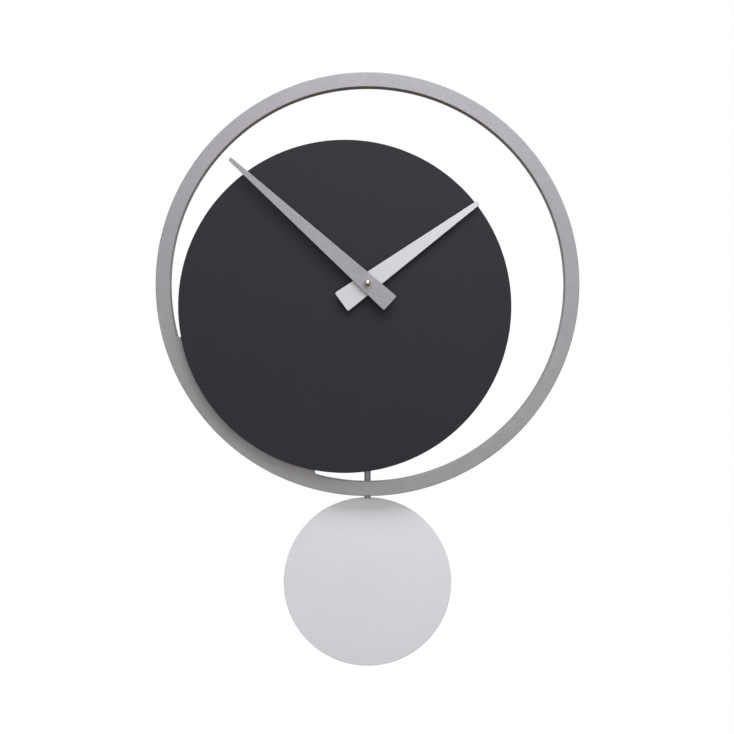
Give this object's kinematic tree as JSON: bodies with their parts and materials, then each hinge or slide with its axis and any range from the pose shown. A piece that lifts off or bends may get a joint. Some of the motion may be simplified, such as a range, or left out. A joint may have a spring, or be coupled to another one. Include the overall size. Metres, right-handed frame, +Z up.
{
  "type": "pendulum wall clock",
  "caption": "Round wall clock: ring board with a crescent opening, offset dark disc, two flat tapered hands, quartz movement and a disc pendulum.",
  "frame": {"origin": "centre of the hanger plate's back face, which lies against the wall, between the two keyholes", "axes": "+Z up, -Y forward out of the dial, +X to the right seen from the front"},
  "size_m": [0.384, 0.0585, 0.5412],
  "materials": {
    "grey_lacquer_board": "satin",
    "silver_lacquer_board": "satin",
    "black_lacquer_board": "matte",
    "raw_board": "matte",
    "grey_hand": "satin",
    "silver_hand": "satin",
    "grey_rod": "satin",
    "zinc_steel": "satin",
    "brass": "polished",
    "copper_wire": "gloss",
    "black_rubber": "matte",
    "case_plastic": "matte",
    "gear_plastic": "satin",
    "circuit_board": "satin",
    "cell_sleeve": "gloss"
  },
  "bodies": {
    "clock_body": {"ring_board": "grey_lacquer_board", "dial_disc": "black_lacquer_board", "spacer_rail": "raw_board", "spacer_leg_left": "raw_board", "spacer_leg_right": "raw_board", "hanger_plate": "zinc_steel", "hanger_screw_left": "zinc_steel", "hanger_screw_right": "zinc_steel", "wall_bumper_left": "black_rubber", "wall_bumper_right": "black_rubber", "spacer_screw_rail_left": "zinc_steel", "spacer_screw_rail_right": "zinc_steel", "spacer_screw_left_upper": "zinc_steel", "spacer_screw_right_upper": "zinc_steel", "spacer_screw_left_lower": "zinc_steel", "spacer_screw_right_lower": "zinc_steel", "disc_screw_1": "zinc_steel", "disc_screw_2": "zinc_steel", "disc_screw_3": "zinc_steel", "disc_screw_4": "zinc_steel", "case_front": "case_plastic", "case_rear": "case_plastic", "mounting_bush": "brass", "rubber_washer": "black_rubber", "dial_washer": "brass", "dial_nut": "brass", "train_bridge": "gear_plastic", "stator": "zinc_steel", "drive_coil": "copper_wire", "circuit_board": "circuit_board", "quartz_crystal": "zinc_steel", "battery": "cell_sleeve", "contact_positive": "zinc_steel", "contact_negative": "zinc_steel", "pendulum_coil": "copper_wire", "lever_pin": "zinc_steel"},
    "minute_group": {"minute_arbor": "gear_plastic", "minute_hand": "grey_hand", "minute_hand_collet": "brass", "cap_nut": "brass"},
    "hour_group": {"hour_wheel": "gear_plastic", "hour_hand": "silver_hand", "hour_hand_collet": "brass"},
    "setting_group": {"motion_wheel": "gear_plastic", "setting_knob": "case_plastic"},
    "centre_group": {"centre_wheel": "gear_plastic"},
    "third_group": {"third_wheel": "gear_plastic"},
    "fourth_group": {"fourth_wheel": "gear_plastic"},
    "intermediate_group": {"intermediate_wheel": "gear_plastic"},
    "rotor_group": {"rotor": "zinc_steel"},
    "pendulum": {"pendulum_lever": "gear_plastic", "lever_magnet": "zinc_steel", "pendulum_hook": "brass", "pendulum_rod": "grey_rod", "pendulum_bob": "silver_lacquer_board"}
  },
  "joints": [
    {"name": "minute_turn", "type": "hinge", "parent": "clock_body", "child": "minute_group", "pos_m": [0, -0.04, -0.074], "axis": [0, 1, 0], "continuous": true},
    {"name": "hour_turn", "type": "hinge", "parent": "clock_body", "child": "hour_group", "pos_m": [0, -0.04, -0.074], "axis": [0, 1, 0], "continuous": true},
    {"name": "setting_turn", "type": "hinge", "parent": "clock_body", "child": "setting_group", "pos_m": [-0.01039, -0.025, -0.068], "axis": [0, 1, 0], "continuous": true},
    {"name": "fourth_turn", "type": "hinge", "parent": "clock_body", "child": "fourth_group", "pos_m": [0.01271, -0.025, -0.06356], "axis": [0, 1, 0], "continuous": true},
    {"name": "centre_turn", "type": "hinge", "parent": "clock_body", "child": "centre_group", "pos_m": [0, -0.025, -0.074], "axis": [0, 1, 0], "continuous": true},
    {"name": "third_turn", "type": "hinge", "parent": "clock_body", "child": "third_group", "pos_m": [0.00846, -0.025, -0.07092], "axis": [0, 1, 0], "continuous": true},
    {"name": "intermediate_turn", "type": "hinge", "parent": "clock_body", "child": "intermediate_group", "pos_m": [0.01149, -0.025, -0.05667], "axis": [0, 1, 0], "continuous": true},
    {"name": "rotor_turn", "type": "hinge", "parent": "clock_body", "child": "rotor_group", "pos_m": [0.00549, -0.025, -0.05667], "axis": [0, 1, 0], "continuous": true},
    {"name": "pendulum_swing", "type": "hinge", "parent": "clock_body", "child": "pendulum", "pos_m": [0, -0.022, -0.108], "axis": [0, 1, 0], "range_deg": [-6, 6]}
  ],
  "couplings": [
    {"joint": "hour_turn", "follows": "minute_turn", "ratio": 0.083333},
    {"joint": "setting_turn", "follows": "minute_turn", "ratio": -0.33333},
    {"joint": "third_turn", "follows": "fourth_turn", "ratio": -0.13333},
    {"joint": "centre_turn", "follows": "fourth_turn", "ratio": 0.016667},
    {"joint": "intermediate_turn", "follows": "fourth_turn", "ratio": -6},
    {"joint": "rotor_turn", "follows": "fourth_turn", "ratio": 30}
  ]
}
